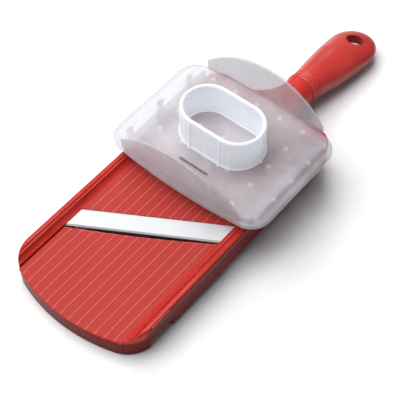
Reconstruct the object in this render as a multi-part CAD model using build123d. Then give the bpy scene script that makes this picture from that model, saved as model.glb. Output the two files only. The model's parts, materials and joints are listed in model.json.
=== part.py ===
from build123d import *
from math import cos, pi, radians, sin, sqrt, tan
import os

# An adjustable mandoline slicer with a sliding hand guard, in millimetres.
#
# Every piece is drawn in the body's own frame: +X runs from the tip to the handle, +Y to the left
# of someone holding the handle, +Z up out of the runway, and z = 0 is the rim's lower edge.
# The whole slicer is then tipped into its resting stance, on the tip and the grip's belly.

# ---------------------------------------------------------------- driving dimensions
# body
BODY_HALF = 44.0            # half the width over the rails
BODY_END = 181.0            # tip to shoulder
BODY_TOP = 15.3             # rail crest above the rim's lower edge
TIP_RADIUS = 98.6           # the tip's bow in plan
TIP_CORNER = 18.0
SHOULDER_CORNER = 11.0
WALL = 2.3
RUNWAY_TOP = 12.0
RUNWAY_UNDER = 9.9
RAIL_EDGE = 1.9             # rounding over the rails' outer edge and their ends
RAIL_GROOVE = (39.7, 40.7)  # inner and outer side of the rail's shallow groove
GROOVE_FLOOR = 14.35
RAIL_LEDGE = (21.5, 35.0)   # square ledge on the right rail's outer edge, from and to
RIB_PITCH = 5.3             # raised ribs along the runway and the ramp
RIB_COUNT = 13
RIB_WIDTH = 0.6
RIB_HEIGHT = 0.2
NOTCH = (19.5, 36.5)        # bowl notch in both side walls, from and to
NOTCH_HEIGHT = 4.5

# blade, laid diagonally
EDGE_X = 64.0               # cutting edge on the centre line
EDGE_SLANT = 0.602          # how far the edge moves towards the handle per millimetre to the right
BLADE_SHOWS = 13.0          # blade seen along X
BLADE_HIDDEN = 3.0          # blade under the runway's lip, along X
BLADE_HALF = 38.7
BLADE_TOP = 11.4
BLADE_THICK = 1.2

# ramp and its hinge
RAMP_HALF = 35.85
RAMP_TOP = 10.9             # half a millimetre under the blade at the thinnest setting
RAMP_THICK = 2.0
RAMP_EDGE = 0.6             # rounding of the ramp's top edges
RAMP_GAP = 1.1              # slot in front of the cutting edge, along X
RAMP_BOW = 1.3              # extra slot in mid width
SIDE_GAP = 0.25
HINGE_X = 10.5
HINGE_Z = 5.2
HINGE_ROD_R = 1.25
KNUCKLE_R = 2.7
RUN = 0.05                  # radial clearance of a running fit

# thickness setting
CAM_X = 46.0
CAM_Z = 4.7
CAM_ROD_R = 1.5
CAM_HIGH = 3.9
CAM_LOW = 2.23
CAM_Y = 20.0
CAM_WIDTH = 4.0
DIAL_R = 4.3
DIAL_INNER = 40.2
DIAL_OUTER = 43.7
DIAL_TEETH = 18
SEAT_BOTTOM = 7.6           # blocks that carry the blade's ends under the rails
SEAT_OUTER = 39.0
BEARING_INNER = 36.5
BEARING_OUTER = 39.3
BEARING_SCREW_X = 53.2
BEARING_SCREW_Y = 37.65
DETENT_X = 55.5
DETENT_Y = 40.25
DETENT_Z = 9.6

# handle, along an axis that leaves the neck at DROOP and eases towards level
GRIP_START = (213.8, -0.2)  # X and Z where the grip meets the collar
DROOP = 12.1                # degrees that the axis drops away from the runway
DROOP_EASE = 0.0011         # how fast the axis levels out, per millimetre
GRIP_LENGTH = 68.2
GRIP_ROOT = 10.2            # half widths at the collar and at the belly
GRIP_WIDE = 15.1
GRIP_BELLY = 49.8
GRIP_HIGH = 9.5             # half height up to GRIP_SWELL, where the taper starts
GRIP_SWELL = 34.1
COLLAR_PITCH = 2.9
COLLAR_FLATTEN = 0.92       # height over width of the collar's rings
HOLE_X = 267.6
HOLE_R = 5.6
HOLE_FLARE = -11.0          # Z below which the hole flares out at 45 degrees
TANG = (38.0, 14.0, 8.0)    # length inside the grip, width, height

# hand guard
GUARD_X = 132.6
GUARD_HALF_X = 39.0
GUARD_HALF_Y = 53.0
GUARD_CORNER = 12.5
GUARD_BOW = 2.5             # how far both ends bow out in mid width
SHIELD_HALF = 41.0
SHIELD_PEAK = 48.4
SHIELD_RADIUS = 57.0
SHIELD_THICK = 1.8
DECK_TOP = 26.6
DECK_THICK = 1.9
DECK_HALF_Y = 49.0
FLANGE_TOP = 25.0
FLANGE_THICK = 1.6
LIP_BOTTOM = 21.9
LIP_THICK = 1.5
RUNNER_Y = 41.0
RUNNER_THICK = 1.8
TAB_PITCH = 26.0
RING_R = 15.7
RING_HALF = 10.2
RING_WALL = 2.3
RING_TOP = 47.3
PRONG_PITCH = 15.8
PRONG_TIP = 16.8
CLEAR = 0.3

# resting stance
STANCE = 3.614              # degrees that the body is pitched up towards the handle
MID_LENGTH = 140.68
STANCE_PLACE = Pos(-MID_LENGTH, 0, 0) * Rot(0, -STANCE, 0)
HANDLE_PLACE = Pos(GRIP_START[0], 0, GRIP_START[1]) * Rot(0, DROOP, 0)


def edge_x(y, offset=0.0):
    """X of the cutting edge at y, moved towards the handle by offset."""
    return EDGE_X - EDGE_SLANT * y + offset


def prism(face, low, high):
    """A face in the XY plane, extruded from low to high."""
    return extrude(Pos(0, 0, low) * face, amount=high - low)


def block(x, y, z):
    """A box given by its three (low, high) pairs."""
    size = [pair[1] - pair[0] for pair in (x, y, z)]
    centre = [(pair[0] + pair[1]) / 2 for pair in (x, y, z)]
    return Pos(*centre) * Box(*size)


def rod_y(x, z, radius, low, high):
    """A cylinder along Y from low to high."""
    return Pos(x, (low + high) / 2, z) * Rot(90, 0, 0) * Cylinder(radius, high - low)


def diagonal_strip(front, back, half, low, high):
    """A strip parallel to the blade, from front to back of the cutting edge."""
    corners = [
        (edge_x(half, front), half),
        (edge_x(half, back), half),
        (edge_x(-half, back), -half),
        (edge_x(-half, front), -half),
    ]
    return prism(make_face(Polyline(*corners, close=True)), low, high)


def body_outline():
    """The body in plan: a bowed tip, parallel sides and a square end with rounded corners."""
    corner_x = TIP_RADIUS - sqrt(TIP_RADIUS**2 - BODY_HALF**2)
    left, right = (corner_x, BODY_HALF), (corner_x, -BODY_HALF)
    end_left, end_right = (BODY_END, BODY_HALF), (BODY_END, -BODY_HALF)
    tip = ThreePointArc(left, (0, 0), right)
    sides = Polyline(right, end_right, end_left, left)
    face = make_face(tip + sides)
    face = fillet(face.vertices().filter_by(lambda v: v.X < BODY_END / 2), TIP_CORNER)
    return fillet(face.vertices().sort_by(Axis.X)[-2:], SHOULDER_CORNER)


def rail_section():
    """Half the body's cross-section: wall, bead, groove, ridge, hollow slope and runway."""
    inner, outer = RAIL_GROOVE
    bead = Line((BODY_HALF, BODY_TOP), (outer + 1.1, BODY_TOP))
    bead += ThreePointArc((outer + 1.1, BODY_TOP), (outer + 0.4, BODY_TOP - 0.15), (outer, BODY_TOP - 0.45))
    groove = ThreePointArc((outer, BODY_TOP - 0.45), ((inner + outer) / 2, GROOVE_FLOOR), (inner, 14.75))
    ridge = ThreePointArc((inner, 14.75), (39.3, 14.95), (38.9, 14.5))
    slope = ThreePointArc((38.9, 14.5), (37.6, 12.85), (35.6, RUNWAY_TOP))
    under = Polyline(
        (35.6, RUNWAY_TOP),
        (0, RUNWAY_TOP),
        (0, RUNWAY_UNDER),
        (38.8, RUNWAY_UNDER),
        (38.8, 12.3),
        (BODY_HALF - WALL, 12.3),
        (BODY_HALF - WALL, 0),
        (BODY_HALF, 0),
        (BODY_HALF, BODY_TOP),
    )
    return make_face(bead + groove + ridge + slope + under)


def ribs(front, back, top):
    """Raised ribs along X. front and back give each rib's two ends at its own y."""
    bars = []
    for number in range(RIB_COUNT):
        y = (number - (RIB_COUNT - 1) / 2) * RIB_PITCH
        side = (y - RIB_WIDTH / 2, y + RIB_WIDTH / 2)
        bars.append(block((front(y), back(y)), side, (top - 0.3, top + RIB_HEIGHT)))
    return bars


def tip_x(y):
    """X of the bowed tip at y."""
    return TIP_RADIUS - sqrt(TIP_RADIUS**2 - y**2)


def neck_section(x, width, height, corner, centre):
    """A rounded cross-section of the neck, facing along the body."""
    plane = Plane(origin=(x, 0, centre), x_dir=(0, 1, 0), z_dir=(1, 0, 0))
    return plane * RectangleRounded(width, height, corner)


def make_neck():
    """The neck, drawn in from the shoulder to the collar, and the tang inside the grip."""
    root = neck_section(BODY_END - WALL, 60, 10.5, 4.5, 6.4)
    waist = neck_section(BODY_END + 6, 33, 11.0, 5.0, 4.9)
    throat = neck_section(BODY_END + 17, 20.2, 15.4, 7.2, 2.5)
    collar_end = HANDLE_PLACE * Pos(-2 * COLLAR_PITCH - 0.5, 0, 0)
    rim = collar_end * (Plane.YZ * RectangleRounded(19.3, 17.6, 8.6))
    swan = loft([root, waist, throat, rim])
    length, width, height = TANG
    tang = HANDLE_PLACE * Pos(length / 2 - 5, 0, 0) * Box(length + 10, width, height)
    return swan + tang


def make_frame():
    """The red moulding: rails, runway, tip bar, hinge knuckles, shoulder, neck and tang."""
    outline = body_outline()
    half = extrude(Plane.YZ * rail_section(), amount=BODY_END)
    envelope = prism(outline, 0, BODY_TOP)
    envelope = fillet(envelope.edges().group_by(Axis.Z)[-1], RAIL_EDGE)
    body = (half + mirror(half, Plane.XZ)) & envelope
    body += prism(outline - offset(outline, -WALL), 0, RUNWAY_TOP + 0.4)

    # raised shoulder that closes the runway at the handle end
    step = [(162, RUNWAY_UNDER), (162, RUNWAY_TOP), (168, 14.9), (BODY_END, 14.9), (BODY_END, RUNWAY_UNDER)]
    shoulder = extrude(Plane.XZ * make_face(Polyline(*step, close=True)), amount=39, both=True)
    body += shoulder & envelope

    # opening for the ramp, then the seat of the blade and its clamp
    open_half = RAMP_HALF + SIDE_GAP
    body -= diagonal_strip(-200, BLADE_SHOWS, open_half, -1, BODY_TOP + 1)
    blade_back = BLADE_SHOWS + BLADE_HIDDEN + 0.1
    body -= diagonal_strip(-1.0, blade_back, BLADE_HALF + 0.1, -1, BLADE_TOP)
    seats = diagonal_strip(-0.6, blade_back + 1, SEAT_OUTER, SEAT_BOTTOM, BLADE_TOP - BLADE_THICK)
    body += seats - block((0, BODY_END), (-open_half, open_half), (0, BODY_TOP))
    tip_bar = prism(outline - offset(outline, -WALL), 0, RAMP_TOP - RAMP_THICK - CLEAR)
    body += tip_bar & block((-1, 20), (-open_half - 1, open_half + 1), (-1, 20))

    # knuckles that hold the hinge rod behind the tip bar
    for y in (-33.0, -14.0, 14.0, 33.0):
        lug = rod_y(HINGE_X, HINGE_Z, KNUCKLE_R, y - 2, y + 2)
        lug += block((tip_x(y) + 1, HINGE_X), (y - 2, y + 2), (HINGE_Z - KNUCKLE_R, HINGE_Z + 1.5))
        body += lug
    body -= rod_y(HINGE_X, HINGE_Z, HINGE_ROD_R + 0.02, -36, 36)

    # ribs of the runway, behind the blade
    for bar in ribs(lambda y: edge_x(y, BLADE_SHOWS + 1.2), lambda y: 161.0, RUNWAY_TOP):
        body += bar

    # stiffening ribs under the runway
    for y in (-26.0, 0.0, 26.0):
        start = edge_x(y, BLADE_SHOWS + BLADE_HIDDEN + 12)
        body += block((start, BODY_END - WALL), (y - 0.8, y + 0.8), (5.5, RUNWAY_UNDER + 0.1))

    # bowl notches, dial window, screw holes and the ledge on the right rail
    for side in (-1, 1):
        low, high = sorted((side * (BODY_HALF + 1), side * (BODY_HALF - 6)))
        body -= block(NOTCH, (low, high), (-1, NOTCH_HEIGHT))
    window = DIAL_R + 0.9
    body -= block((CAM_X - window, CAM_X + window), (39.4, BODY_HALF + 1), (-1, CAM_Z + window))
    ledge = block(RAIL_LEDGE, (-BODY_HALF - 1, -BODY_HALF + 2.4), (12.9, BODY_TOP - 0.25))
    body += ledge & prism(offset(outline, -0.3), 0, BODY_TOP)
    for x, y in clamp_screw_places():
        body -= Pos(x, y, 10.4) * Cylinder(1.35, 2.0)
    for side, seat in ((1, SEAT_BOTTOM), (-1, RUNWAY_UNDER)):
        body -= Pos(BEARING_SCREW_X, side * BEARING_SCREW_Y, seat + 0.9) * Cylinder(0.8, 1.8)

    # boss that carries the detent spring, in the hollow of the left rail
    boss = Pos(DETENT_X, DETENT_Y, 11.15) * Cylinder(1.4, 2.5)
    body += boss - Pos(DETENT_X, DETENT_Y, 10.7) * Cylinder(0.65, 1.8)
    return body + make_neck()


def clamp_screw_places():
    """Centres of the clamp bar's screws, behind the blade."""
    return [(edge_x(y, BLADE_SHOWS + BLADE_HIDDEN + 5.0), y) for y in (-27.0, 0.0, 27.0)]


def make_ramp():
    """The front ramp: ribbed plate with a bowed tip, side stiffeners and hinge knuckles."""
    under = RAMP_TOP - RAMP_THICK
    half = RAMP_HALF
    left, right = (tip_x(half), half), (tip_x(half), -half)
    back_left, back_right = (edge_x(half, -RAMP_GAP), half), (edge_x(-half, -RAMP_GAP), -half)
    middle = (edge_x(0, -RAMP_GAP - RAMP_BOW), 0)
    tip = ThreePointArc(left, (0, 0), right)
    back = ThreePointArc(back_right, middle, back_left)
    sides = Line(right, back_right) + Line(back_left, left)
    ramp = prism(make_face(tip + sides + back), under, RAMP_TOP)
    ramp = fillet(ramp.edges().group_by(Axis.Z)[-1], RAMP_EDGE)
    for bar in ribs(lambda y: tip_x(y) + 3.0, lambda y: edge_x(y, -RAMP_GAP - RAMP_BOW - 1.0), RAMP_TOP):
        ramp += bar
    for y, start, end in ((30.0, 14.5, 37.5), (-30.0, 14.5, 39.0), (-30.0, 49.0, edge_x(-30, -8))):
        ramp += block((start, end), (y - 0.9, y + 0.9), (6.4, under + 0.1))
    for y in (-24.0, 0.0, 24.0):
        knuckle = rod_y(HINGE_X, HINGE_Z, KNUCKLE_R, y - 3, y + 3)
        web = block((HINGE_X - 1.5, HINGE_X + KNUCKLE_R), (y - 3, y + 3), (HINGE_Z, under + 0.1))
        ramp += knuckle + web
        ramp -= rod_y(HINGE_X, HINGE_Z, HINGE_ROD_R + RUN, y - 4, y + 4)
    return ramp


def make_blade():
    """The ceramic blade: a diagonal strip, bevelled on top along its cutting edge."""
    back = BLADE_SHOWS + BLADE_HIDDEN
    strip = diagonal_strip(0, back, BLADE_HALF, BLADE_TOP - BLADE_THICK, BLADE_TOP)
    top_long_edges = strip.edges().filter_by(lambda e: e.length > 60).group_by(Axis.Z)[-1]
    return chamfer(top_long_edges.sort_by(Axis.X)[0], 0.8)


def make_clamp_bar():
    """The bar under the blade, with a screw tab behind it at three places."""
    top = BLADE_TOP - BLADE_THICK
    bar = diagonal_strip(3.2, BLADE_SHOWS + BLADE_HIDDEN, 35.0, 7.6, top)
    for x, y in clamp_screw_places():
        bar += Pos(x, y, 8.75) * Cylinder(3.6, 2.3)
        bar += block((x - 5, x), (y - 3.6, y + 3.6), (7.6, RUNWAY_UNDER))
    for x, y in clamp_screw_places():
        bar -= Pos(x, y, 8.75) * Cylinder(1.45, 4)
    return bar


def make_screw(x, y, seat, length, shank, head, head_height):
    """A pan-head screw pointing up, with a cross recess, its head under seat."""
    screw = Pos(x, y, seat + length / 2 - 0.05) * Cylinder(shank, length + 0.1)
    cap = Pos(x, y, seat - head_height / 2) * Cylinder(head, head_height)
    cap = fillet(cap.edges().group_by(Axis.Z)[0], 0.4 * head_height)
    for angle in (0, 90):
        cap -= Pos(x, y, seat - head_height) * Rot(0, 0, angle) * Box(head, 0.24 * head, head_height)
    return screw + cap


def make_clamp_screws():
    """The screws that hold the clamp bar up against the runway."""
    return Compound([make_screw(x, y, 7.6, 3.6, 1.25, 2.5, 1.3) for x, y in clamp_screw_places()])


def make_cam(y):
    """A heart cam: its reach falls evenly from CAM_HIGH, on top, to CAM_LOW, underneath."""
    steps = 48
    points = []
    for step in range(steps):
        turn = 2 * pi * step / steps
        share = min(turn, 2 * pi - turn) / pi
        reach = CAM_HIGH - (CAM_HIGH - CAM_LOW) * share
        points.append((CAM_X + reach * sin(turn), CAM_Z + reach * cos(turn)))
    face = Plane.XZ * make_face(Polyline(*points, close=True))
    cam = Pos(0, y, 0) * extrude(face, amount=CAM_WIDTH / 2, both=True)
    cam += rod_y(CAM_X, CAM_Z, CAM_LOW, y - CAM_WIDTH / 2 - 1.5, y + CAM_WIDTH / 2 + 1.5)
    return cam - rod_y(CAM_X, CAM_Z, CAM_ROD_R, y - 9, y + 9)


def make_dial():
    """The knurled dial in the left wall, with a finger line across its face."""
    dial = rod_y(CAM_X, CAM_Z, DIAL_R, DIAL_INNER, DIAL_OUTER)
    for tooth in range(DIAL_TEETH):
        turn = 2 * pi * tooth / DIAL_TEETH
        x, z = CAM_X + DIAL_R * sin(turn), CAM_Z + DIAL_R * cos(turn)
        dial -= rod_y(x, z, 0.42, DIAL_INNER - 1, DIAL_OUTER + 1)
    finger = block((CAM_X - 0.5, CAM_X + 0.5), (DIAL_OUTER - 0.7, DIAL_OUTER + 1), (CAM_Z, CAM_Z + 3.2))
    return dial - finger - rod_y(CAM_X, CAM_Z, CAM_ROD_R, 36, 42)


def make_bearing(side, top):
    """A bearing block under a rail, bored for the cam rod, with a screw foot beside it."""
    width = sorted((side * BEARING_INNER, side * BEARING_OUTER))
    bearing = block((CAM_X - 3.4, CAM_X + 3.4), width, (1.8, top))
    bearing += block((CAM_X - 3.4, BEARING_SCREW_X + 2.6), width, (top - 2.0, top))
    bearing -= rod_y(CAM_X, CAM_Z, CAM_ROD_R + RUN, -45, 45)
    return bearing - Pos(BEARING_SCREW_X, side * BEARING_SCREW_Y, top) * Cylinder(0.8, 8)


def make_bearing_screws():
    """One small screw in the foot of each bearing."""
    left = make_screw(BEARING_SCREW_X, BEARING_SCREW_Y, SEAT_BOTTOM - 2.0, 3.6, 0.75, 1.3, 0.9)
    right = make_screw(BEARING_SCREW_X, -BEARING_SCREW_Y, RUNWAY_UNDER - 2.0, 3.6, 0.75, 1.3, 0.9)
    return Compound([left, right])


def make_detent_spring():
    """A leaf spring whose bump drops into the dial's knurling at each setting."""
    leaf = block((CAM_X - 2.5, DETENT_X + 1.6), (DETENT_Y - 1.1, DETENT_Y + 1.1), (DETENT_Z, DETENT_Z + 0.3))
    leaf += rod_y(CAM_X, DETENT_Z + 0.1, 0.4, DETENT_Y - 1.1, DETENT_Y + 1.1)
    return leaf - Pos(DETENT_X, DETENT_Y, DETENT_Z) * Cylinder(0.65, 4)


def grip_half_width(along):
    """Half the grip's width: it swells as a sine to the belly, then closes as an ellipse."""
    if along <= GRIP_BELLY:
        return GRIP_ROOT + (GRIP_WIDE - GRIP_ROOT) * sin(pi / 2 * along / GRIP_BELLY)
    share = (along - GRIP_BELLY) / (GRIP_LENGTH - GRIP_BELLY)
    return GRIP_WIDE * sqrt(1 - share**2)


def grip_half_height(along):
    """Half the grip's height: even at first, then tapering through the hang hole."""
    share = max(0, (along - GRIP_SWELL) / (GRIP_LENGTH - GRIP_SWELL))
    return GRIP_HIGH * (1 - share) ** 0.55


def grip_plane(along):
    """The plane across the grip's axis, with its X to the left and its Y up."""
    fall = tan(radians(DROOP))
    x = GRIP_START[0] + along
    z = GRIP_START[1] - fall * along + DROOP_EASE * along**2
    slope = 2 * DROOP_EASE * along - fall
    return Plane(origin=(x, 0, z), x_dir=(0, 1, 0), z_dir=(1, 0, slope))


def make_grip():
    """The bulbous grip: ellipses carried along its axis, with a tang pocket and a flared hang hole."""
    stations = [GRIP_BELLY * step / 9 for step in range(9)]
    stations += [GRIP_BELLY + (GRIP_LENGTH - GRIP_BELLY) * sin(pi / 2 * step / 7) for step in range(7)]
    sections = []
    for along in stations:
        sections.append(grip_plane(along) * Ellipse(grip_half_width(along), grip_half_height(along)))
    grip = loft(sections + [Vertex(*grip_plane(GRIP_LENGTH).origin)])
    length, width, height = TANG
    grip -= HANDLE_PLACE * Pos(length / 2 - 5, 0, 0) * Box(length + 10.2, width + 0.1, height + 0.1)
    flare = Pos(HOLE_X, 0, HOLE_FLARE - 5) * Cone(HOLE_R + 10, HOLE_R, 10)
    return grip - Pos(HOLE_X, 0, -10) * Cylinder(HOLE_R, 60) - flare


def make_collar():
    """Two rounded rings in one piece, between the neck and the grip."""
    half = COLLAR_PITCH / 2
    back = Polyline((0, 9.6), (0, 0), (-2 * COLLAR_PITCH, 0), (-2 * COLLAR_PITCH, 9.6))
    ring_low = ThreePointArc((-2 * COLLAR_PITCH, 9.6), (-3 * half, 10.4), (-COLLAR_PITCH, 9.6))
    ring_high = ThreePointArc((-COLLAR_PITCH, 9.6), (-half, 10.5), (0, 9.6))
    collar = revolve(make_face(back + ring_low + ring_high), Axis.X)
    collar = scale(collar, (1, 1, COLLAR_FLATTEN))
    length, width, height = TANG
    return HANDLE_PLACE * (Pos(-0.2, 0, 0) * collar - Box(40, width + 0.1, height + 0.1))


def guard_outline(inset=0.0):
    """The guard in plan: a rounded rectangle with both ends bowed out between the shields' feet."""
    plate = RectangleRounded(2 * GUARD_HALF_X, 2 * GUARD_HALF_Y, GUARD_CORNER)
    for side in (-1, 1):
        foot, peak = side * (GUARD_HALF_X - 0.1), side * (GUARD_HALF_X + GUARD_BOW)
        arc = ThreePointArc((foot, -SHIELD_HALF), (peak, 0), (foot, SHIELD_HALF))
        plate += make_face(arc + Line((foot, SHIELD_HALF), (foot, -SHIELD_HALF)))
    return Pos(GUARD_X, 0) * (offset(plate, -inset) if inset else plate)


def shield_band(side):
    """The shield's footprint: a thin arc along the guard's bowed end."""
    foot, peak = side * (GUARD_HALF_X - 0.1), side * (GUARD_HALF_X + GUARD_BOW)
    back_foot, back_peak = foot - side * SHIELD_THICK, peak - side * SHIELD_THICK
    outer = ThreePointArc((foot, -SHIELD_HALF), (peak, 0), (foot, SHIELD_HALF))
    inner = ThreePointArc((back_foot, SHIELD_HALF), (back_peak, 0), (back_foot, -SHIELD_HALF))
    left = Line((foot, SHIELD_HALF), (back_foot, SHIELD_HALF))
    right = Line((back_foot, -SHIELD_HALF), (foot, -SHIELD_HALF))
    return Pos(GUARD_X, 0) * make_face(outer + left + inner + right)


def make_guard_shell():
    """The clear moulding: deck, flanges with a lip, arched shields, runners and guide tabs."""
    outline = guard_outline()
    flange_low = FLANGE_TOP - FLANGE_THICK
    shell = prism(outline, flange_low, FLANGE_TOP)
    shell += prism(outline - guard_outline(LIP_THICK), LIP_BOTTOM, flange_low + 0.1)

    deck = Pos(GUARD_X, 0) * RectangleRounded(2 * GUARD_HALF_X - 4.4, 2 * DECK_HALF_Y, 8)
    raised = prism(deck, flange_low, DECK_TOP)
    raised = chamfer(raised.edges().group_by(Axis.Z)[-1], DECK_TOP - FLANGE_TOP - 0.2)
    hollow = prism(offset(deck, -2.6), flange_low - 1, DECK_TOP - DECK_THICK)
    shell = shell + raised - hollow

    # an arched shield stands on each bowed end
    arch = Pos(0, SHIELD_PEAK - SHIELD_RADIUS) * Circle(SHIELD_RADIUS)
    arch = arch & Pos(0, SHIELD_PEAK - 15) * Rectangle(2 * SHIELD_HALF, 44)
    arch_prism = Pos(GUARD_X - 60, 0, 0) * extrude(Plane.YZ * arch, amount=120)
    for side in (-1, 1):
        shell += prism(shield_band(side), flange_low, SHIELD_PEAK + 1) & arch_prism

    # runners over the rails, and guide tabs beside them
    for side in (-1, 1):
        y = side * RUNNER_Y
        foot = BODY_TOP + CLEAR
        run = (GUARD_X - GUARD_HALF_X + 3.5, GUARD_X + GUARD_HALF_X - 3.5)
        shell += block(run, (y - RUNNER_THICK / 2, y + RUNNER_THICK / 2), (foot, DECK_TOP - 0.5))
        for place in (-1, 0, 1):
            x = GUARD_X + place * TAB_PITCH
            low, high = sorted((side * (BODY_HALF + 0.5), side * (BODY_HALF + 2.3)))
            shell += block((x - 2, x + 2), (low, high), (12.4, DECK_TOP - 0.5))

    # narrow slots through the deck behind each shield
    for side in (-1, 1):
        x = GUARD_X + side * 25.2
        shell -= block((x - 0.8, x + 0.8), (-10, 10), (flange_low - 1, DECK_TOP + 1))
    return shell


def make_grip_ring():
    """The upright oval ring that the fingers hold, with fine ribs where its curves begin."""
    outer = SlotCenterToCenter(2 * RING_HALF, 2 * RING_R)
    inner = SlotCenterToCenter(2 * RING_HALF, 2 * (RING_R - RING_WALL))
    ring = Pos(GUARD_X, 0, 0) * Rot(0, 0, 90) * prism(outer - inner, DECK_TOP, RING_TOP)
    ring = fillet(ring.edges().group_by(Axis.Z)[-1], 0.9)
    corners = [(side * (RING_R - 0.1), end * RING_HALF) for side in (-1, 1) for end in (-1, 1)]
    ends = [(0, side * (RING_HALF + RING_R - 0.1)) for side in (-1, 1)]
    rise = RING_TOP - 0.8 - DECK_TOP
    for x, y in corners + ends:
        ring += Pos(GUARD_X + x, y, DECK_TOP + rise / 2) * Cylinder(0.65, rise)
        ring += Pos(GUARD_X + x, y, DECK_TOP + 0.6) * Cylinder(1.1, 1.2)
    return ring


def make_prongs():
    """Tapered prongs under the deck, on a square grid about the guard's middle."""
    root = DECK_TOP - DECK_THICK
    prongs = []
    for column in range(-2, 3):
        for row in range(-2, 3):
            x, y = GUARD_X + column * PRONG_PITCH, row * PRONG_PITCH
            height = root - PRONG_TIP
            prongs.append(Pos(x, y, root - height / 2) * Rot(180, 0, 0) * Cone(1.5, 0.35, height))
    return prongs


os.makedirs("parts", exist_ok=True)
pieces = {
    "frame": make_frame(),
    "ramp": make_ramp(),
    "ramp_hinge_rod": rod_y(HINGE_X, HINGE_Z, HINGE_ROD_R, -35.4, 35.4),
    "blade": make_blade(),
    "blade_clamp_bar": make_clamp_bar(),
    "clamp_screws": make_clamp_screws(),
    "cam_rod": rod_y(CAM_X, CAM_Z, CAM_ROD_R, -38.5, 41.9),
    "cam_left": make_cam(CAM_Y),
    "cam_right": make_cam(-CAM_Y),
    "thickness_dial": make_dial(),
    "rod_bearing_left": make_bearing(1, SEAT_BOTTOM),
    "rod_bearing_right": make_bearing(-1, RUNWAY_UNDER),
    "bearing_screws": make_bearing_screws(),
    "detent_spring": make_detent_spring(),
    "detent_screw": make_screw(DETENT_X, DETENT_Y, DETENT_Z, 1.6, 0.6, 1.1, 0.7),
    "handle_grip": make_grip(),
    "handle_collar": make_collar(),
    "guard_shell": make_guard_shell(),
    "guard_grip_ring": make_grip_ring(),
    "guard_prongs": Compound(make_prongs()),
}
for name, piece in pieces.items():
    export_step(STANCE_PLACE * piece, f"parts/{name}.step")
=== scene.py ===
import json
from math import cos, pi, radians, sin

import bmesh
import bpy
import numpy as np
from mathutils import Matrix


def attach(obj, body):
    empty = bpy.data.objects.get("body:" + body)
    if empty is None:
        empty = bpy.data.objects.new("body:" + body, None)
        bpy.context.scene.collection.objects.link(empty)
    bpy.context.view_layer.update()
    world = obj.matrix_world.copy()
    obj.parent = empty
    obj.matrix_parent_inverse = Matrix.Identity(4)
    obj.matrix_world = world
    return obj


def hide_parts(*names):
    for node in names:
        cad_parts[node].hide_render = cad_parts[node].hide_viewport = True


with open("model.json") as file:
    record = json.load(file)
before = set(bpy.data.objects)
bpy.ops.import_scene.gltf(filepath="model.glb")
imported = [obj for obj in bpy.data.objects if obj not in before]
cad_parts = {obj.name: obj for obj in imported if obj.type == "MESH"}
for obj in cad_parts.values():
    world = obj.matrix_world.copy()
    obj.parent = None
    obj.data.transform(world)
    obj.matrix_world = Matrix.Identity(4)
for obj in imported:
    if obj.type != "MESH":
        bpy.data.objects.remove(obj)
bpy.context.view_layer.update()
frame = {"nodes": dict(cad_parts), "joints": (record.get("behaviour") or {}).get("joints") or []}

# ---------------------------------------------------------------- the body
# The long red moulding: rails, runway with raised ribs, walls, shoulder and neck.
# It is injection-moulded ABS with a fine etched grain on the runway; every other piece hangs on it.

joints = {joint["name"]: joint for joint in frame["joints"]}
ALONG = np.array(joints["guard_slide"]["axis"])          # from the tip to the handle
LEFT = np.array((0.0, 1.0, 0.0))
UP = np.cross(ALONG, LEFT)                                # out of the runway
HINGE = (10.5, 0.0, 5.2)                                  # ramp hinge from the tip, mm in the body
TIP = np.array(joints["ramp_tilt"]["pos_m"]) - (HINGE[0] * ALONG + HINGE[2] * UP) / 1000
RUNWAY_HALF, RUNWAY_END, RUNWAY_LOW = 35.7, 161.5, 10.6    # half width, end and the least height of its top
RIB_PITCH = 5.3
RIB_FLANK = (0.26, 0.42)                                  # where a rib's painted crest highlight fades, from its middle
HATCH = 3.4                                               # etched lines, in radians to the millimetre
BLADE_SLANT = 0.602                                       # how far the edge moves back per mm to the right
EDGE_X = 64.0
RAMP_GAP, RAMP_BOW = 1.1, 1.3                             # slot before the blade at its ends, and its bow
WALL_Y, WALL_HEIGHT = (43.0, 43.8), (9.4, 10.5)           # where the painted wall shade begins, outwards and downwards
NECK_X = (175, 184)                                       # where the painted wall shade runs out into the neck
RAIL_Y, RAIL_HEIGHT = (36.5, 38.5), (11.5, 13.5)          # where the polished rails begin
ABS_RED = (0.58, 0.038, 0.028, 1)
ABS_BRIGHT = (0.62, 0.050, 0.040, 1)
ABS_ETCHED = (0.49, 0.051, 0.043, 1)
# a paler red for flow marks, and for the painted highlights on the rib crests and along the ramp's back edge
ABS_PALE_FLOW_AND_HIGHLIGHT = (0.78, 0.19, 0.16, 1)
ABS_DEEP = (0.44, 0.022, 0.016, 1)
# a deep red used as painted shade on the body's outer walls and on the grip's sides and underside
ABS_PAINTED_SHADE = (0.16, 0.006, 0.005, 1)


def seated(points):
    """Points in the body's own millimetres, as metres in the frame: tip + x along + y left + z up."""
    points = np.asarray(points, float) / 1000
    return TIP + points[..., :1] * ALONG + points[..., 1:2] * LEFT + points[..., 2:] * UP


class Wire:
    """A value inside a finish. The operators used below add Math nodes."""

    def __init__(self, finish, socket):
        self.finish = finish
        self.socket = socket

    def math(self, operation, *others):
        return self.finish.node("ShaderNodeMath", {"operation": operation}, dict(enumerate((self, *others))))

    def __add__(self, other):
        return self.math("ADD", other)

    def __sub__(self, other):
        return self.math("SUBTRACT", other)

    def __mul__(self, other):
        return self.math("MULTIPLY", other)

    def __gt__(self, other):
        return self.math("GREATER_THAN", other)

    def __lt__(self, other):
        return self.math("LESS_THAN", other)

    def ramp(self, low, high, start=0.0, end=1.0):
        """Carries low..high smoothly to start..end, held at both ends."""
        values = {0: self, 1: low, 2: high, 3: start, 4: end}
        return self.finish.node("ShaderNodeMapRange", {"interpolation_type": "SMOOTHSTEP"}, values)


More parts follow.
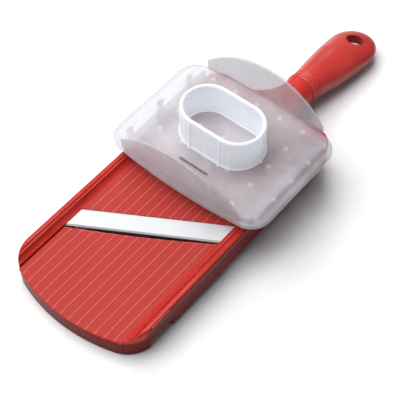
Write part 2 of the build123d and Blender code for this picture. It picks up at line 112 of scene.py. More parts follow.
class Finish:
    """A material being made up: node() adds any shader node, with its settings set before its sockets."""

    def __init__(self, name):
        self.material = bpy.data.materials.new(name)
        self.material.use_nodes = True
        self.tree = self.material.node_tree
        self.tree.nodes.clear()

    def node(self, kind, settings=None, values=None, output=0):
        made = self.tree.nodes.new(kind)
        for key, value in (settings or {}).items():
            setattr(made, key, value)
        for key, value in (values or {}).items():
            if isinstance(value, Wire):
                self.tree.links.new(value.socket, made.inputs[key])
            else:
                made.inputs[key].default_value = value
        return Wire(self, made.outputs[output] if made.outputs else None)

    def apart(self, vector):
        """The three values of a vector, one Wire each."""
        split = self.node("ShaderNodeSeparateXYZ", None, {0: vector}).socket.node
        return [Wire(self, socket) for socket in split.outputs]

    def place(self):
        """The body's own millimetres: X from the tip, Y to the left, Z out of the runway."""
        at = self.node("ShaderNodeTexCoord", output="Object")
        shift = [-1000 * float(TIP @ axis) for axis in (ALONG, LEFT, UP)]
        turn = (0, float(np.arctan2(ALONG[2], ALONG[0])), 0)
        values = {"Vector": at, "Location": shift, "Rotation": turn, "Scale": (1000, 1000, 1000)}
        return self.node("ShaderNodeMapping", None, values)

    def noise(self, vector, scale, detail=2.0, stretch=(1, 1, 1)):
        """Soft noise, scale lumps to the millimetre, drawn out along the axes with a small stretch."""
        pulled = self.node("ShaderNodeVectorMath", {"operation": "MULTIPLY"}, {0: vector, 1: stretch})
        return self.node("ShaderNodeTexNoise", None, {"Vector": pulled, "Scale": scale, "Detail": detail})

    def mix(self, share, low, high):
        """A colour that goes from low to high with share."""
        values = {0: share, 6: low, 7: high}
        return self.node("ShaderNodeMix", {"data_type": "RGBA"}, values, output=2)

    def bump(self, height, depth_mm, strength=1.0):
        """A bumped normal from a height of 0..1 that stands for depth_mm."""
        values = {"Height": height, "Distance": depth_mm / 1000, "Strength": strength}
        return self.node("ShaderNodeBump", None, values)

    def surface(self, **sockets):
        """Closes the finish with one shader; an underscore in a socket's name stands for a space."""
        values = {key.replace("_", " "): value for key, value in sockets.items()}
        shader = self.node("ShaderNodeBsdfPrincipled", None, values)
        self.node("ShaderNodeOutputMaterial", None, {"Surface": shader})
        return self.material


def red_moulding(name, etched):
    """Red ABS: slow changes of depth, faint flow marks, painted shade on the outer walls,
    painted highlights on the rib crests and along the ramp's back edge, and a cross-hatched runway.
    """
    finish = Finish(name)
    at = finish.place()
    along, across, height = finish.apart(at)
    cloud = finish.noise(at, 0.035, 3.0)
    flow = finish.noise(at, 0.5, 3.0, (0.12, 1, 1))
    grain = finish.noise(at, 2.2, 2.0)
    colour = finish.mix(cloud.ramp(0.3, 0.7, 0.0, 0.5), ABS_RED, ABS_DEEP)
    colour = finish.mix(flow.ramp(0.45, 0.8, 0.0, 0.10), colour, ABS_PALE_FLOW_AND_HIGHLIGHT)
    off_middle = across.math("ABSOLUTE")
    outside = off_middle.ramp(*WALL_Y) + height.ramp(*WALL_HEIGHT, 1.0, 0.0)
    painted_wall_shade = outside * along.ramp(*NECK_X, 1.0, 0.0)
    relief = grain * 0.35
    roughness = grain.ramp(0.3, 0.7, 0.26, 0.36)
    if etched:
        on_runway = (off_middle < RUNWAY_HALF) * (height > RUNWAY_LOW) * (along < RUNWAY_END)
        first = (along * HATCH + across * HATCH).math("SINE")
        second = (along * HATCH - across * HATCH).math("SINE")
        hatch = (first + second) * 0.25 + 0.5
        relief = relief + hatch * on_runway * 0.65
        # painted highlight: the crest of each rib is paler
        near_rib = across.math("PINGPONG", RIB_PITCH / 2)
        rib_crest_highlight = near_rib.ramp(*RIB_FLANK, 1.0, 0.0) * on_runway
        colour = finish.mix(on_runway, colour, ABS_ETCHED)
        colour = finish.mix(hatch.ramp(0.45, 0.9, 0.0, 0.45) * on_runway, colour, ABS_DEEP)
        from_edge = along + across * BLADE_SLANT - EDGE_X
        past_ramp = from_edge + RAMP_GAP + RAMP_BOW - across * across * (RAMP_BOW / RUNWAY_HALF**2)
        # painted highlight: a paler band along the ramp's back edge, where its rounded edge catches the light
        painted_edge_highlight = past_ramp.ramp(-0.9, -0.4) * (from_edge < 0.0) * on_runway
        colour = finish.mix((rib_crest_highlight * 0.6).math("MAXIMUM", painted_edge_highlight * 0.75), colour, ABS_PALE_FLOW_AND_HIGHLIGHT)
        roughness = roughness + on_runway * 0.14
    # painted shade: the outer walls below the rails darken to a deep red, fading out at the neck
    colour = finish.mix(painted_wall_shade, colour, ABS_PAINTED_SHADE)
    polish = off_middle.ramp(*RAIL_Y, 0.0, 0.4) * height.ramp(*RAIL_HEIGHT)
    normal = finish.bump(relief, 0.05, 0.55)
    return finish.surface(Base_Color=colour, Roughness=roughness, Normal=normal, Coat_Weight=polish,
                          Specular_IOR_Level=0.08)


def finished(node, material):
    """Gives a carried CAD node its material."""
    piece = frame["nodes"][node]
    piece.data.materials.clear()
    piece.data.materials.append(material)
    return piece


def smoothed_copy(node, name, angle, material, body, slot):
    """A CAD node's mesh with its loose triangles joined and every edge flatter than angle shaded smooth."""
    shape = bmesh.new()
    shape.from_mesh(frame["nodes"][node].data)
    bmesh.ops.remove_doubles(shape, verts=shape.verts, dist=2e-6)
    mesh = bpy.data.meshes.new(name)
    shape.to_mesh(mesh)
    shape.free()
    mesh.attributes.remove(mesh.attributes["custom_normal"])
    mesh.shade_smooth()
    mesh.set_sharp_from_angle(angle=radians(angle))
    return mounted(name, mesh, material, body, slot, node)


def mounted(name, mesh, material, body, slot, *replaced):
    """Puts a finished mesh into the scene on its body, in place of the CAD nodes it stands for."""
    mesh.materials.clear()
    mesh.materials.append(material)
    piece = bpy.data.objects.new(name, mesh)
    bpy.context.scene.collection.objects.link(piece)
    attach(piece, body)
    if replaced:
        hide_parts(*replaced)
    return piece


etched_red = red_moulding("etched_red_abs", True)
smoothed_copy("frame", "body_moulding", 32, etched_red, "slicer_body", "red_plastic")

# ---------------------------------------------------------------- the ramp and its hinge rod
# The ribbed front plate that tilts to set the thickness. It is moulded in the same red ABS
# and turns on a drawn steel rod held by the knuckles behind the tip.

smoothed_copy("ramp", "ramp_plate", 32, etched_red, "ramp_plate", "red_plastic")

STEEL = (0.58, 0.58, 0.60, 1)
STEEL_DARK = (0.36, 0.36, 0.38, 1)


def drawn_steel():
    """Drawn steel: fine lengthwise scratches across Y in colour, roughness and relief."""
    finish = Finish("drawn_steel")
    at = finish.place()
    scratch = finish.noise(at, 6.0, 4.0, (1, 0.06, 1))
    stain = finish.noise(at, 0.3, 2.0)
    colour = finish.mix(scratch.ramp(0.35, 0.7), STEEL, STEEL_DARK)
    roughness = stain.ramp(0.3, 0.7, 0.24, 0.4)
    normal = finish.bump(scratch, 0.02, 0.4)
    return finish.surface(Base_Color=colour, Metallic=1.0, Roughness=roughness, Normal=normal)


steel = drawn_steel()
finished("ramp_hinge_rod", steel)

# ---------------------------------------------------------------- the blade
# White zirconia ceramic, pressed, fired and ground. The ground bevel shows fine marks
# across the cutting edge; the flat is polished.

CERAMIC = (0.80, 0.83, 0.85, 1)
CERAMIC_GROUND = (0.52, 0.54, 0.57, 1)


def ground_ceramic():
    """White ceramic, polished on the flat and ground to a duller grey on the bevel."""
    finish = Finish("ground_ceramic")
    at = finish.place()
    along, across, _ = finish.apart(at)
    from_edge = along + across * BLADE_SLANT - EDGE_X
    bevel = from_edge.ramp(0.75, 1.05, 1.0, 0.0)
    marks = finish.noise(at, 1.6, 3.0, (0.25, 2.2, 1))
    cloud = finish.noise(at, 0.06, 2.0)
    colour = finish.mix(bevel * 0.75, CERAMIC, CERAMIC_GROUND)
    colour = finish.mix(cloud.ramp(0.4, 0.75, 0.0, 0.12), colour, CERAMIC_GROUND)
    roughness = bevel * 0.22 + marks.ramp(0.3, 0.7, 0.12, 0.2)
    normal = finish.bump(marks, 0.01, 0.35)
    return finish.surface(Base_Color=colour, Roughness=roughness, Normal=normal, Coat_Weight=0.3)


finished("blade", ground_ceramic())

# ---------------------------------------------------------------- what holds the blade and sets the thickness
# Under the runway: a dark red clamp bar with its screws, and the cam shaft in two bearings.
# The bar and the dial are ABS, the cams and bearings are natural acetal, the rest is steel.

DARK_RED = (0.22, 0.014, 0.012, 1)
DARK_RED_WORN = (0.34, 0.035, 0.030, 1)
ACETAL = (0.80, 0.77, 0.70, 1)
ACETAL_SOILED = (0.62, 0.58, 0.50, 1)


def plain_moulding(name, fresh, worn, roughness_low, roughness_high):
    """A plain moulding: mottled between two shades, with a fine spark-eroded grain."""
    finish = Finish(name)
    at = finish.place()
    mottle = finish.noise(at, 0.25, 3.0)
    grain = finish.noise(at, 3.0, 2.0)
    colour = finish.mix(mottle.ramp(0.4, 0.75, 0.0, 0.8), fresh, worn)
    roughness = grain.ramp(0.3, 0.7, roughness_low, roughness_high)
    normal = finish.bump(grain, 0.03, 0.4)
    return finish.surface(Base_Color=colour, Roughness=roughness, Normal=normal)


dark_abs = plain_moulding("dark_red_abs", DARK_RED, DARK_RED_WORN, 0.4, 0.55)
acetal = plain_moulding("natural_acetal", ACETAL, ACETAL_SOILED, 0.35, 0.5)
for node in ("blade_clamp_bar", "thickness_dial"):
    finished(node, dark_abs)
for node in ("cam_left", "cam_right", "rod_bearing_left", "rod_bearing_right"):
    finished(node, acetal)
for node in ("cam_rod", "clamp_screws", "bearing_screws", "detent_spring", "detent_screw"):
    finished(node, steel)

# ---------------------------------------------------------------- the handle
# A bulbous red grip pressed on the body's tang, with a rounded hang hole,
# and a two-ring collar between it and the neck. Both are moulded with a smoother skin.

DROOP, DROOP_EASE = radians(12.1), 0.0011
GRIP_START = (213.8, 0.0, -0.2)
GRIP_LENGTH = 68.2
GRIP_ROOT, GRIP_WIDE, GRIP_BELLY = 10.2, 15.1, 49.8
GRIP_HIGH, GRIP_SWELL = 9.5, 34.1
HANG_HOLE = (267.6, 5.6, -11.0)
COLLAR_PITCH, COLLAR_RADIUS, COLLAR_RING = 2.9, 9.6, 0.85    # a ring's length, root and rise
COLLAR_FLAT = 0.92                                        # its height to its width


def handle_frame(points):
    """Points along the handle (s, y, height) in the body's millimetres. The axis leaves the neck
    at DROOP and eases towards level with the square of s; each section stands square to it."""
    s, y, height = points[..., 0], points[..., 1], points[..., 2]
    slope = 2 * DROOP_EASE * np.clip(s, 0, None) - np.tan(DROOP)
    lean = np.arctan(slope)
    x = GRIP_START[0] + s * np.where(s < 0, cos(DROOP), 1.0) - height * np.sin(lean)
    fall = np.where(s < 0, -sin(DROOP) * s, -np.tan(DROOP) * s + DROOP_EASE * s**2)
    return np.stack([x, y, GRIP_START[2] + fall + height * np.cos(lean)], -1)


def skin(name, grid, closed_rows=False, capped=True):
    """A mesh over a grid of points: columns always close on themselves, rows close or get end caps."""
    rows, columns = grid.shape[:2]
    index = np.arange(rows * columns).reshape(rows, columns)
    if closed_rows:
        index = np.vstack([index, index[:1]])
    here, right = index, np.roll(index, -1, axis=1)
    quads = np.stack([here[:-1], right[:-1], right[1:], here[1:]], -1).reshape(-1, 4).tolist()
    if capped and not closed_rows:
        quads += [index[0][::-1].tolist(), index[-1].tolist()]
    mesh = bpy.data.meshes.new(name)
    mesh.from_pydata(seated(grid).reshape(-1, 3).tolist(), [], quads)
    shape = bmesh.new()
    shape.from_mesh(mesh)
    bmesh.ops.remove_doubles(shape, verts=shape.verts, dist=1e-6)
    bmesh.ops.recalc_face_normals(shape, faces=shape.faces)
    shape.to_mesh(mesh)
    shape.free()
    mesh.shade_smooth()
    mesh.set_sharp_from_angle(angle=radians(40))
    return mesh


def cut(mesh, tool_mesh, rounding=0.0):
    """The mesh with the tool's shape taken out, and the new rims rounded over by rounding in mm."""
    piece = bpy.data.objects.new(mesh.name, mesh)
    tool = bpy.data.objects.new("tool", tool_mesh)
    for made in (piece, tool):
        bpy.context.scene.collection.objects.link(made)
    away = piece.modifiers.new("opening", "BOOLEAN")
    away.operation = "DIFFERENCE"
    away.object = tool
    if rounding:
        soften = piece.modifiers.new("rim", "BEVEL")
        soften.width = rounding / 1000
        soften.segments = 4
        soften.limit_method = "ANGLE"
        soften.angle_limit = radians(50)
    depsgraph = bpy.context.evaluated_depsgraph_get()
    result = bpy.data.meshes.new_from_object(piece.evaluated_get(depsgraph))
    for made in (piece, tool):
        bpy.data.objects.remove(made)
    result.shade_smooth()
    result.set_sharp_from_angle(angle=radians(40))
    return result


def grip_surface():
    """Ellipses along the grip. The width swells as a sine to the belly and closes as an ellipse;
    the height is even at first and then tapers through the hang hole."""
    s = GRIP_LENGTH * np.sin(pi / 2 * np.linspace(0, 1, 141))
    late = np.clip((s - GRIP_BELLY) / (GRIP_LENGTH - GRIP_BELLY), 0, 1)
    wide = GRIP_ROOT + (GRIP_WIDE - GRIP_ROOT) * np.sin(pi / 2 * np.clip(s / GRIP_BELLY, 0, 1))
    wide = np.where(s <= GRIP_BELLY, wide, GRIP_WIDE * np.sqrt(1 - late**2))
    taper = np.clip((s - GRIP_SWELL) / (GRIP_LENGTH - GRIP_SWELL), 0, 1)
    high = GRIP_HIGH * (1 - taper) ** 0.55
    root = 1 - 0.06 * np.exp(-s / 0.5)
    turn = np.linspace(0, 2 * pi, 128, endpoint=False)
    points = np.stack(np.broadcast_arrays(
        s[:, None], (wide * root)[:, None] * np.cos(turn), (high * root)[:, None] * np.sin(turn)), -1)
    return handle_frame(points)


def hole_surface():
    """A round tool along the body's height, through the grip's end, flaring out below its waist."""
    middle, radius, waist = HANG_HOLE
    turn = np.linspace(0, 2 * pi, 96, endpoint=False)
    rings = [(radius + 10, waist - 10), (radius, waist), (radius, 20.0)]
    return np.stack([np.stack(np.broadcast_arrays(middle + wide * np.cos(turn), wide * np.sin(turn), z), -1)
                     for wide, z in rings])


def collar_surface():
    """A profile of two rounded rings turned about the handle's axis, then flattened."""
    share = np.linspace(0, 1, 49)
    s = -2 * COLLAR_PITCH * share - 0.15
    radius = COLLAR_RADIUS + COLLAR_RING * np.abs(np.sin(2 * pi * share)) ** 0.55
    turn = np.linspace(0, 2 * pi, 96, endpoint=False)
    points = np.stack(np.broadcast_arrays(
        s[:, None], radius[:, None] * np.cos(turn), COLLAR_FLAT * radius[:, None] * np.sin(turn)), -1)
    return handle_frame(points)


def smooth_red():
    """Red ABS with a smoother skin: slow changes of depth, fine flow marks, a faint parting line,
    and painted shade that darkens the grip from its top towards its sides and underside.
    """
    finish = Finish("smooth_red_abs")
    at = finish.place()
    along, across, height = finish.apart(at)
    past = along - GRIP_START[0]
    from_axis = height - GRIP_START[2] + past * float(np.tan(DROOP)) - past * past * DROOP_EASE
    parting = from_axis.math("ABSOLUTE").ramp(0.05, 0.3, 1.0, 0.0)
    cloud = finish.noise(at, 0.05, 3.0)
    flow = finish.noise(at, 0.4, 3.0, (0.15, 1, 1))
    grain = finish.noise(at, 1.4, 2.0)
    colour = finish.mix(cloud.ramp(0.3, 0.7, 0.0, 0.4), ABS_BRIGHT, ABS_DEEP)
    colour = finish.mix(flow.ramp(0.5, 0.8, 0.0, 0.08), colour, ABS_PALE_FLOW_AND_HIGHLIGHT)
    # painted shade: the grip darkens from its top towards its sides and underside
    colour = finish.mix(from_axis.ramp(-7.0, 8.5, 0.95, 0.0), colour, ABS_PAINTED_SHADE)
    roughness = grain.ramp(0.3, 0.7, 0.30, 0.38)
    gloss = flow.ramp(0.3, 0.7, 0.25, 0.4)
    normal = finish.bump(grain * 0.3 + parting, 0.04, 0.4)
    return finish.surface(Base_Color=colour, Roughness=roughness, Normal=normal, Coat_Weight=gloss,
                          Coat_Roughness=0.22, Specular_IOR_Level=0.15)


red_skin = smooth_red()
grip_mesh = cut(skin("grip", grip_surface()), skin("hole", hole_surface()), 0.9)
mounted("grip", grip_mesh, red_skin, "slicer_body", "red_plastic", "handle_grip")
mounted("collar", skin("collar", collar_surface()), red_skin, "slicer_body", "red_plastic", "handle_collar")

# ---------------------------------------------------------------- the hand guard's shell
# One frosted clear moulding: a raised deck, a flange with a lip, and an arched shield on each
# bowed end that keeps the fingers off the blade. Runners and guide tabs under it ride the rails.

GUARD_X = 132.6
# GUARD_BOW and SHIELD_PEAK are 0.1 mm less than the solid's, so that the surface stays in its box
GUARD_HALF_X, GUARD_HALF_Y, GUARD_CORNER, GUARD_BOW = 39.0, 53.0, 12.5, 2.4
SHIELD_HALF, SHIELD_PEAK, SHIELD_RADIUS, SHIELD_THICK = 41.0, 48.3, 57.0, 1.8
DECK_TOP, DECK_THICK, FLANGE_TOP, FLANGE_THICK = 26.6, 1.9, 25.0, 1.6
LIP_BOTTOM = 21.9
SLOT_X, SLOT_HALF_X, SLOT_HALF_Y = 25.2, 0.8, 10          # through the deck, before and behind its middle
SLOT_HEIGHT = (20, 30)                                    # the tool reaches well past both faces of the deck
RUNNER_Y, RUNNER_HALF_X, RUNNER_HALF_Y, RUNNER_HEIGHT = 41.0, 35.5, 0.9, (15.65, 24.6)
TAB_PITCH, TAB_HALF_X, TAB_Y, TAB_HEIGHT = 26, 2, (44.5, 46.3), (12.4, 25.5)
PRONG_PITCH = 15.8
MILKY = (0.50, 0.475, 0.51, 1)
MILKY_DENSE = (0.76, 0.76, 0.80, 1)


def bow(y):
    """How far the guard's ends bow out at y: a parabola between the shields' feet."""
    return GUARD_BOW * np.clip(1 - (y / SHIELD_HALF) ** 2, 0, None)


def guard_loop(inset, corner_in, bowed):
    """A rounded rectangle about the guard's middle, inset all round, with its ends bowed out."""
    half_x, half_y = GUARD_HALF_X - inset, GUARD_HALF_Y - inset - corner_in[1]
    half_x -= corner_in[0]
    corner = max(GUARD_CORNER - inset - corner_in[2], 0.8)
    arcs = []
    for quarter, (side_x, side_y) in enumerate(((1, 1), (-1, 1), (-1, -1), (1, -1))):
        turn = (quarter + np.linspace(0, 1, 13)) * pi / 2
        arc = np.stack([side_x * (half_x - corner) + corner * np.cos(turn),
                        side_y * (half_y - corner) + corner * np.sin(turn)], -1)
        arcs.append(arc)
    loop = []
    for number, arc in enumerate(arcs):
        after = arcs[(number + 1) % 4][0]
        share = np.linspace(0, 1, 26)[1:-1, None]
        loop += [arc, arc[-1] + (after - arc[-1]) * share]
    loop = np.concatenate(loop)
    loop[:, 0] += np.sign(loop[:, 0]) * bow(loop[:, 1]) * bowed
    return loop + (GUARD_X, 0)


def tray_surface():
    """Closed rings from the deck's middle over its edge, out along the flange, round the lip and back
    underneath. Each ring is a guard_loop at its own inset and height."""
    deck = (2.0, 4.0, 4.0)
    flange = (0.0, 0.0, 0.0)
    stations = [
        (24.0, deck, 0.0, DECK_TOP + 0.15), (8.0, deck, 0.3, DECK_TOP + 0.1), (2.0, deck, 0.8, DECK_TOP),
        (1.1, deck, 0.9, DECK_TOP - 0.12), (0.5, deck, 0.95, DECK_TOP - 0.5),
        (0.0, deck, 1.0, FLANGE_TOP + 0.35),
        (-0.6, deck, 1.0, FLANGE_TOP + 0.05), (1.6, flange, 1.0, FLANGE_TOP - 0.45),
        (0.7, flange, 1.0, FLANGE_TOP - 0.62), (0.2, flange, 1.0, FLANGE_TOP - 1.0),
        (0.0, flange, 1.0, FLANGE_TOP - 1.5), (0.0, flange, 1.0, LIP_BOTTOM + 0.4),
        (0.4, flange, 1.0, LIP_BOTTOM), (1.1, flange, 1.0, LIP_BOTTOM), (1.5, flange, 1.0, LIP_BOTTOM + 0.4),
        (1.6, flange, 1.0, FLANGE_TOP - FLANGE_THICK - 0.7),
        (2.2, flange, 1.0, FLANGE_TOP - FLANGE_THICK - 0.3),
        (1.2, deck, 1.0, FLANGE_TOP - FLANGE_THICK), (2.2, deck, 0.95, FLANGE_TOP - FLANGE_THICK + 0.2),
        (2.8, deck, 0.9, DECK_TOP - DECK_THICK), (8.0, deck, 0.3, DECK_TOP - DECK_THICK),
        (24.0, deck, 0.0, DECK_TOP - DECK_THICK),
    ]
    rings = []
    for inset, corner_in, bowed, height in stations:
        loop = guard_loop(inset, corner_in, bowed)
        rings.append(np.column_stack([loop, np.full(len(loop), height)]))
    return np.stack(rings)


def shield_surface(side):
    """An upright plate: its plan follows the bow, its top the arch, and its rim is a half round."""
    y = SHIELD_HALF * np.sin(np.linspace(-pi / 2, pi / 2, 81))
    top = SHIELD_PEAK - SHIELD_RADIUS + np.sqrt(SHIELD_RADIUS**2 - y**2)
    half = SHIELD_THICK / 2 * np.clip(1 - (y / (SHIELD_HALF + 0.01)) ** 16, 0.05, 1)
    turn = np.linspace(0, pi, 9)
    lift = np.linspace(0, 1, 12)[:-1]
    offset = np.concatenate([np.ones(11), np.cos(turn), -np.ones(11)])
    rise = np.concatenate([lift, np.ones(9), lift[::-1]])
    rim = np.concatenate([np.zeros(11), np.sin(turn), np.zeros(11)])
    foot = FLANGE_TOP - 0.5
    x = GUARD_X + side * (GUARD_HALF_X + bow(y) - 0.1 - SHIELD_THICK / 2)
    x = x[:, None] + offset * half[:, None]
    z = foot + (top[:, None] - half[:, None] - foot) * rise + rim * half[:, None]
    return np.stack([x, np.broadcast_to(y[:, None], x.shape), z], -1)


def bar_surface(x, y, z, edge=0.35):
    """A straight bar with rounded long edges, carried from x[0] to x[1]."""
    half_y, half_z = (y[1] - y[0]) / 2, (z[1] - z[0]) / 2
    turn = np.linspace(0, 2 * pi, 32, endpoint=False) + pi / 64
    across = np.clip(np.cos(turn) * 9, -1, 1) * (half_y - edge) + edge * np.cos(turn)
    height = np.clip(np.sin(turn) * 9, -1, 1) * (half_z - edge) + edge * np.sin(turn)
    scale = np.array([0.9, 1.0, 1.0, 0.9])[:, None]
    stations = np.array([x[0], x[0] + edge, x[1] - edge, x[1]])[:, None]
    return np.stack(np.broadcast_arrays(
        stations, (y[0] + y[1]) / 2 + across * scale, (z[0] + z[1]) / 2 + height * scale), -1)


def joined(name, meshes):
    """Several meshes as one, for a moulding that is one piece."""
    shape = bmesh.new()
    for mesh in meshes:
        shape.from_mesh(mesh)
    whole = bpy.data.meshes.new(name)
    shape.to_mesh(whole)
    shape.free()
    whole.shade_smooth()
    whole.set_sharp_from_angle(angle=radians(40))
    return whole


def frosted(name, colour, dense, alpha_low, alpha_high, roughness, painted_glow=0.0):
    """Frosted clear polypropylene: cloudy patches in colour and cover, flow lines, a fine grain,
    a paler spot over each prong, and painted shade that darkens the colour towards the right (-Y) side.
    painted_glow is a painted glow: an emission that stands for light scattering inside a thick wall."""
    finish = Finish(name)
    at = finish.place()
    along, across, _ = finish.apart(at)
    off_row = (along - GUARD_X).math("PINGPONG", PRONG_PITCH / 2)
    off_column = across.math("PINGPONG", PRONG_PITCH / 2)
    off_prong = (off_row * off_row + off_column * off_column).math("SQRT")
    on_prong = off_prong.ramp(0.9, 1.9, 1.0, 0.0)
    cloud = finish.noise(at, 0.06, 3.0)
    streak = finish.noise(at, 0.3, 3.0, (1, 0.2, 1))
    grain = finish.noise(at, 2.5, 2.0)
    # painted shade: the colour darkens towards the right (-Y) side and lightens towards the left
    cloud_and_painted_side_shade = cloud.ramp(0.2, 0.8, 0.0, 0.5) + across.ramp(-45, 45, 0.0, 0.5)
    shade = finish.mix(cloud_and_painted_side_shade, colour, dense)
    shade = finish.mix(on_prong * 0.35, shade, (0.95, 0.95, 0.97, 1))
    cover = cloud.ramp(0.3, 0.7, alpha_low, alpha_high) + on_prong * 0.08
    rough = streak.ramp(0.3, 0.7, roughness - 0.05, roughness + 0.06)
    normal = finish.bump(grain * 0.5 + streak * 0.5, 0.04, 0.4)
    return finish.surface(Base_Color=shade, Roughness=rough, Alpha=cover, Normal=normal,
                          Emission_Color=shade, Emission_Strength=painted_glow)


frosted_clear = frosted("frosted_clear", MILKY, MILKY_DENSE, 0.45, 0.52, 0.3)

slots = [bar_surface((GUARD_X + side * SLOT_X - SLOT_HALF_X, GUARD_X + side * SLOT_X + SLOT_HALF_X),
                     (-SLOT_HALF_Y, SLOT_HALF_Y), SLOT_HEIGHT) for side in (-1, 1)]
tray = cut(skin("tray", tray_surface()), joined("slots", [skin("slot", slot) for slot in slots]))
shields = [skin("shield", shield_surface(side)) for side in (-1, 1)]
runners = [skin("runner", bar_surface((GUARD_X - RUNNER_HALF_X, GUARD_X + RUNNER_HALF_X),
                                      (y - RUNNER_HALF_Y, y + RUNNER_HALF_Y), RUNNER_HEIGHT))
           for y in (-RUNNER_Y, RUNNER_Y)]
tab_middles = [(GUARD_X + step * TAB_PITCH, side) for side in (-1, 1) for step in (-1, 0, 1)]
tabs = [skin("tab", bar_surface((x - TAB_HALF_X, x + TAB_HALF_X), sorted(side * y for y in TAB_Y),
                                TAB_HEIGHT)) for x, side in tab_middles]
mounted("guard_moulding", joined("guard_moulding", [tray, *shields, *runners, *tabs]), frosted_clear,
        "hand_guard", "clear_plastic", "guard_shell")

# ---------------------------------------------------------------- the guard's grip ring and prongs
# The oval ring that the fingers hold is thicker and whiter, with six fine ribs: where its curves
# begin and end, and in their middles. The prongs under the deck hold the food; they are moulded
# in the same plastic.

RING_RADIUS, RING_HALF, RING_WALL, RING_TOP = 15.7, 10.2, 2.3, 47.3


def ring_surface():
    """A wall profile carried round an oval: the outer face with a flared foot, a half-round rim and
    the inner face. Each of six ribs adds a narrow bell to the outer radius."""
    straight, round_end = 2 * RING_HALF, pi * RING_RADIUS
    length = 2 * (straight + round_end)
    run = np.linspace(0, length, 480, endpoint=False)
    half_turn = (run - straight) / RING_RADIUS
    second = run >= straight + round_end
    back = run - straight - round_end
    on_back = second & (back < straight)
    last_turn = (back - straight) / RING_RADIUS
    angle = np.select([run < straight, ~second, on_back], [0.0, half_turn, pi], pi + last_turn)
    centre_y = np.select([run < straight, ~second, on_back],
                         [run - RING_HALF, RING_HALF, RING_HALF - back], -RING_HALF)
    ribs_at = [0, straight, straight + round_end / 2, straight + round_end,
               2 * straight + round_end, 2 * straight + 1.5 * round_end]
    bell = sum(np.exp(-(((run - at + length / 2) % length - length / 2) / 0.55) ** 2) for at in ribs_at)

    height = np.concatenate([[0, 0.5, 1.2, 2.2], np.linspace(4, 19.2, 9)])
    outer = RING_RADIUS + 0.9 * np.exp(-height / 0.8)
    rim_turn = np.linspace(0, pi, 11)[1:-1]
    half_wall = RING_WALL / 2
    rise = RING_TOP - DECK_TOP - half_wall
    rim = RING_RADIUS - half_wall + half_wall * np.cos(rim_turn)
    inner = RING_RADIUS - RING_WALL - 0.5 * np.exp(-height[::-1] / 0.6)
    radius = np.concatenate([outer, rim, inner])
    lift = np.concatenate([height, rise + half_wall * np.sin(rim_turn), height[::-1]])
    swell = np.concatenate([0.55 + 0.45 * np.exp(-height / 1.0), np.zeros(len(rim_turn) + len(height))])
    radius = radius[:, None] + swell[:, None] * bell
    x = GUARD_X + radius * np.cos(angle)
    y = centre_y + radius * np.sin(angle)
    z = DECK_TOP + 0.05 + np.broadcast_to(lift[:, None], x.shape)
    return np.stack([x, y, z], -1)


ring_mesh = skin("grip_ring", ring_surface(), closed_rows=True)
# the ring's emission of 0.2 is a painted glow, standing for light scattered inside its thick wall
milky = frosted("milky_ring", (0.82, 0.85, 0.90, 1), (0.90, 0.92, 0.97, 1), 0.76, 0.84, 0.28, 0.2)
mounted("grip_ring", ring_mesh, milky, "hand_guard", "clear_plastic", "guard_grip_ring")
finished("guard_prongs", frosted("milky_prongs", MILKY, MILKY_DENSE, 0.6, 0.7, 0.3))

# ---------------------------------------------------------------- floor, light and camera
# A pale matt floor under a large soft light high on the left, with a small weak one on the handle's
# side, and a long lens from above the tip's right.

FLOOR_HALF = 3.0
VIEW_TARGET = (107.05, -4.68, 0.0)
VIEW_AZIMUTH, VIEW_ELEVATION, VIEW_ROLL = radians(-50.56), radians(53.45), radians(-0.36)
VIEW_DISTANCE = 609.7
LENS = 98.08


def pale_floor():
    """Matt white board with a barely visible grain."""
    finish = Finish("pale_floor")
    at = finish.place()
    grain = finish.noise(at, 0.02, 3.0)
    colour = finish.mix(grain.ramp(0.3, 0.7), (0.97, 0.97, 0.97, 1), (0.95, 0.95, 0.955, 1))
    return finish.surface(Base_Color=colour, Roughness=0.85, Specular_IOR_Level=0.2)


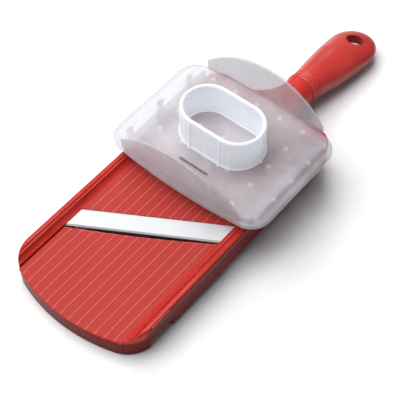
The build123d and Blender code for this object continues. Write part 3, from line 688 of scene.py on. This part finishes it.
floor_mesh = bpy.data.meshes.new("floor")
corners = [(x, y, -0.0003) for x, y in ((-1, -1), (1, -1), (1, 1), (-1, 1))]
floor_mesh.from_pydata([(FLOOR_HALF * x, FLOOR_HALF * y, z) for x, y, z in corners], [], [(0, 1, 2, 3)])
floor_mesh.materials.append(pale_floor())
floor = bpy.data.objects.new("floor", floor_mesh)
bpy.context.scene.collection.objects.link(floor)


def standing(axes, place):
    """The matrix of something at place whose own X, Y and Z point along the three axes."""
    return Matrix([[*(float(axis[n]) for axis in axes), float(place[n])] for n in range(3)] + [[0, 0, 0, 1]])


def soft_light(name, place, size, watts):
    """A square area light at place, aimed at the slicer's middle."""
    light = bpy.data.lights.new(name, "AREA")
    light.size = size
    light.energy = watts
    lamp = bpy.data.objects.new(name, light)
    back = np.array(place) / np.linalg.norm(place)
    side = np.cross((0, 0, 1), back)
    side /= np.linalg.norm(side)
    lamp.matrix_world = standing((side, np.cross(back, side), back), place)
    bpy.context.scene.collection.objects.link(lamp)


soft_light("window", (-0.28, 0.55, 1.50), 1.6, 34)
soft_light("far_side", (0.75, 0.75, 0.80), 0.6, 4)

world = bpy.data.worlds.new("studio")
world.use_nodes = True
world.node_tree.nodes["Background"].inputs["Color"].default_value = (0.95, 0.97, 1.0, 1)
world.node_tree.nodes["Background"].inputs["Strength"].default_value = 0.15
bpy.context.scene.world = world
bpy.context.scene.view_settings.view_transform = "Standard"

back = np.array((sin(VIEW_AZIMUTH) * cos(VIEW_ELEVATION), -cos(VIEW_AZIMUTH) * cos(VIEW_ELEVATION),
                 sin(VIEW_ELEVATION)))
right = np.array((cos(VIEW_AZIMUTH), sin(VIEW_AZIMUTH), 0))
above = np.cross(back, right)
right, above = (right * cos(VIEW_ROLL) + above * sin(VIEW_ROLL),
                above * cos(VIEW_ROLL) - right * sin(VIEW_ROLL))
eye = seated(np.array(VIEW_TARGET) + VIEW_DISTANCE * back)
columns = [seated(axis * 1000) - TIP for axis in (right, above, back)]
camera = bpy.data.objects.new("camera", bpy.data.cameras.new("camera"))
camera.data.lens = LENS
camera.data.sensor_width = 36
camera.matrix_world = standing(columns, eye)
bpy.context.scene.collection.objects.link(camera)
bpy.context.scene.camera = camera
